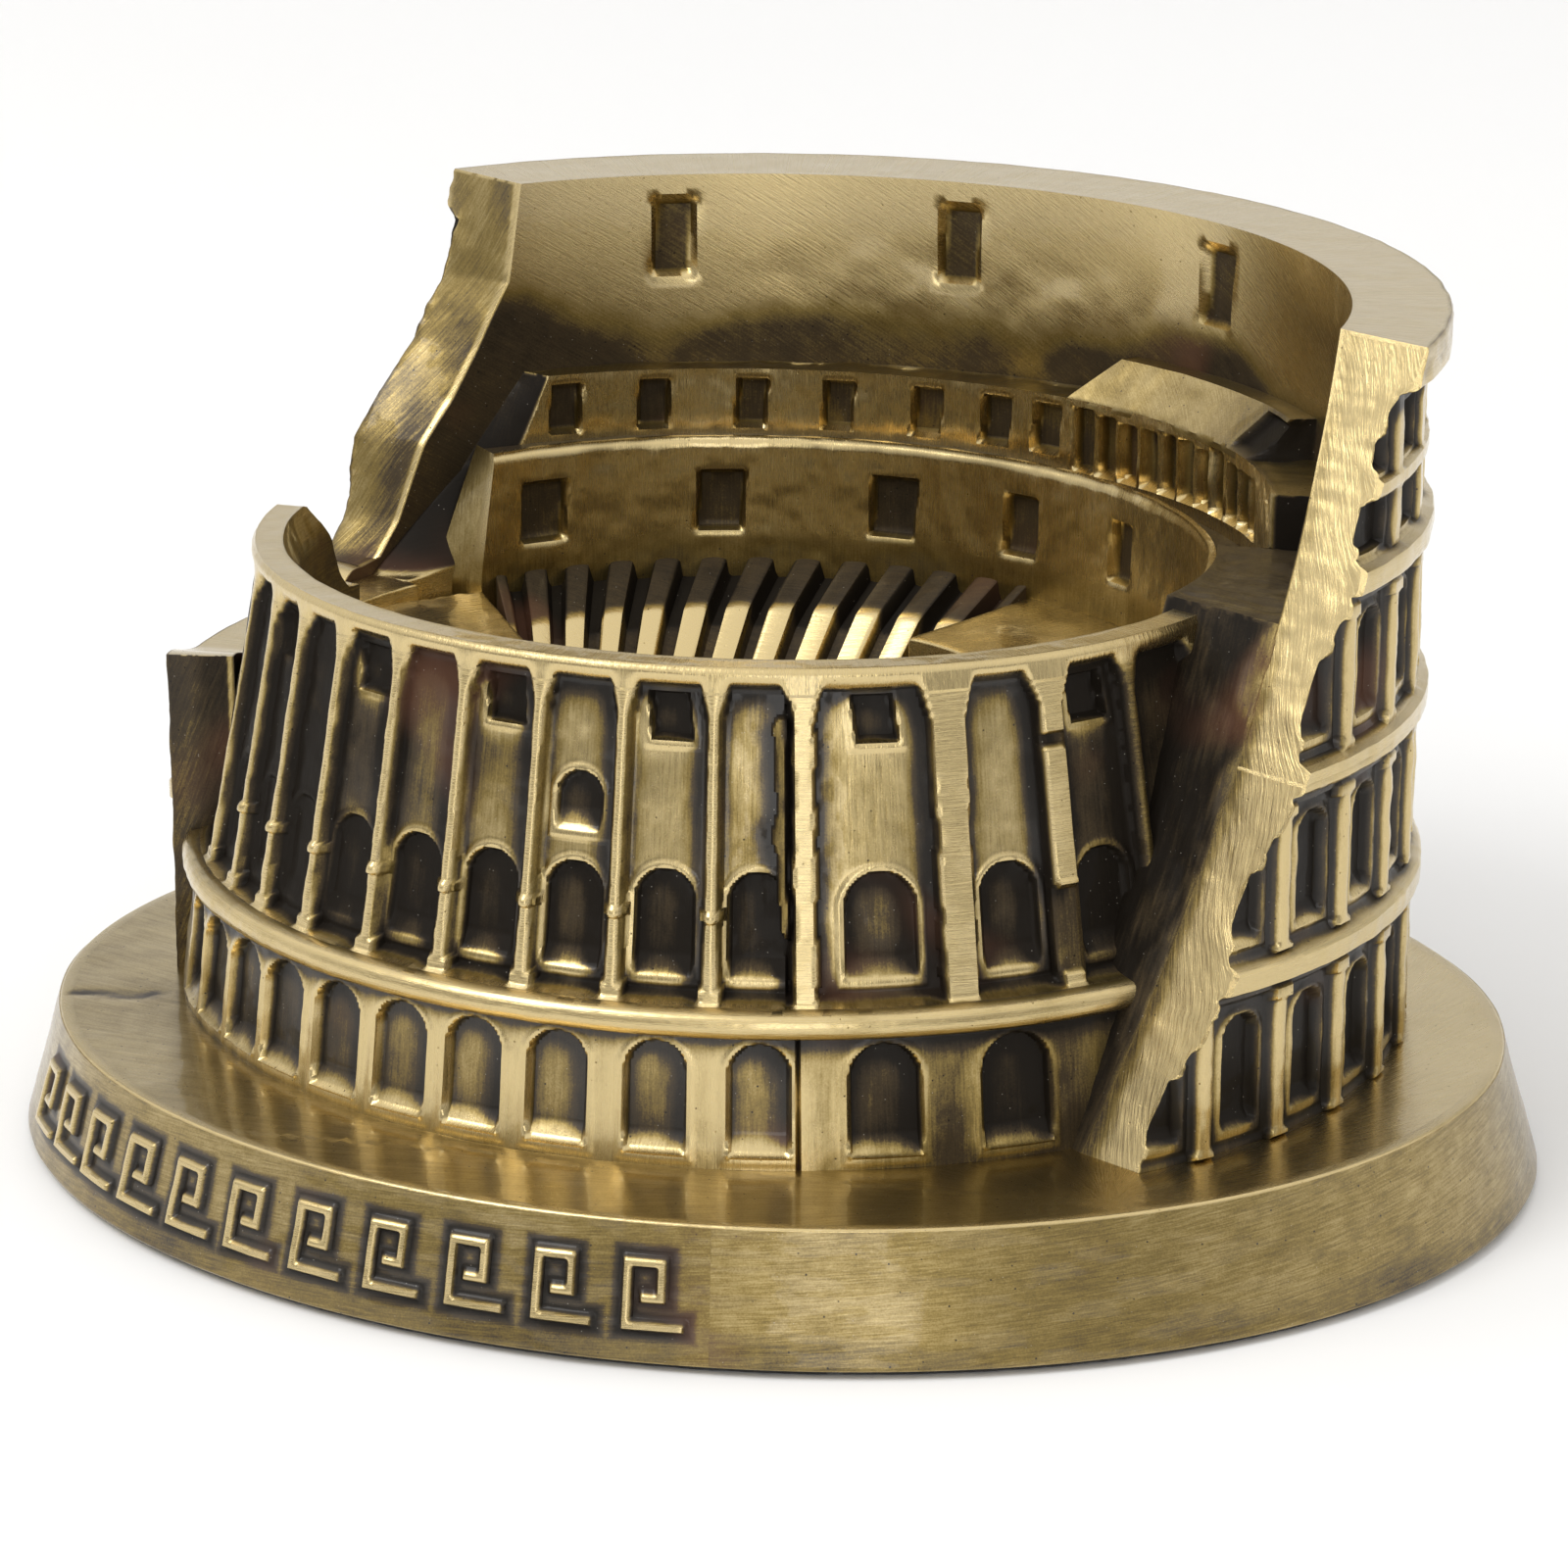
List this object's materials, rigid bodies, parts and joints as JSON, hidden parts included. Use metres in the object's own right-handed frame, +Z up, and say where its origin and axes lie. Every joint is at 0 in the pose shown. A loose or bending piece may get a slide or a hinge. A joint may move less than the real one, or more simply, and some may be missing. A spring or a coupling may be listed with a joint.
{
  "type": "miniature landmark model",
  "caption": "Oval amphitheatre in miniature, a tall ruined arcade wall around tiers and a ribbed bowl, on a flared oval plinth with a flock pad.",
  "frame": {"origin": "middle of the pad's underside, on the surface that the object stands on", "axes": "+X along the plinth's long axis to the viewer's right, +Y to the back, where the wall is tallest, +Z up"},
  "size_m": [0.09, 0.0702, 0.051],
  "materials": {
    "antique_brass": "brushed antique plating with dark recesses under clear lacquer",
    "bare_solder": "coarsely filed, plated with the rest",
    "flock_pad": "short black flock"
  },
  "bodies": {
    "root": {"arena_floor": "antique_brass", "felt_pad": "flock_pad", "inner_ring_wall": "antique_brass", "left_end_ramp": "antique_brass", "left_landing": "antique_brass", "left_outer_landing": "antique_brass", "low_front_wall": "antique_brass", "plinth": "antique_brass", "right_end_solder_fill": "bare_solder", "right_terrace": "antique_brass", "seating_bank_back": "antique_brass", "seating_bank_front": "antique_brass", "tall_outer_wall": "antique_brass", "terrace_block": "antique_brass", "upper_gallery_wall": "antique_brass"}
  },
  "joints": []
}
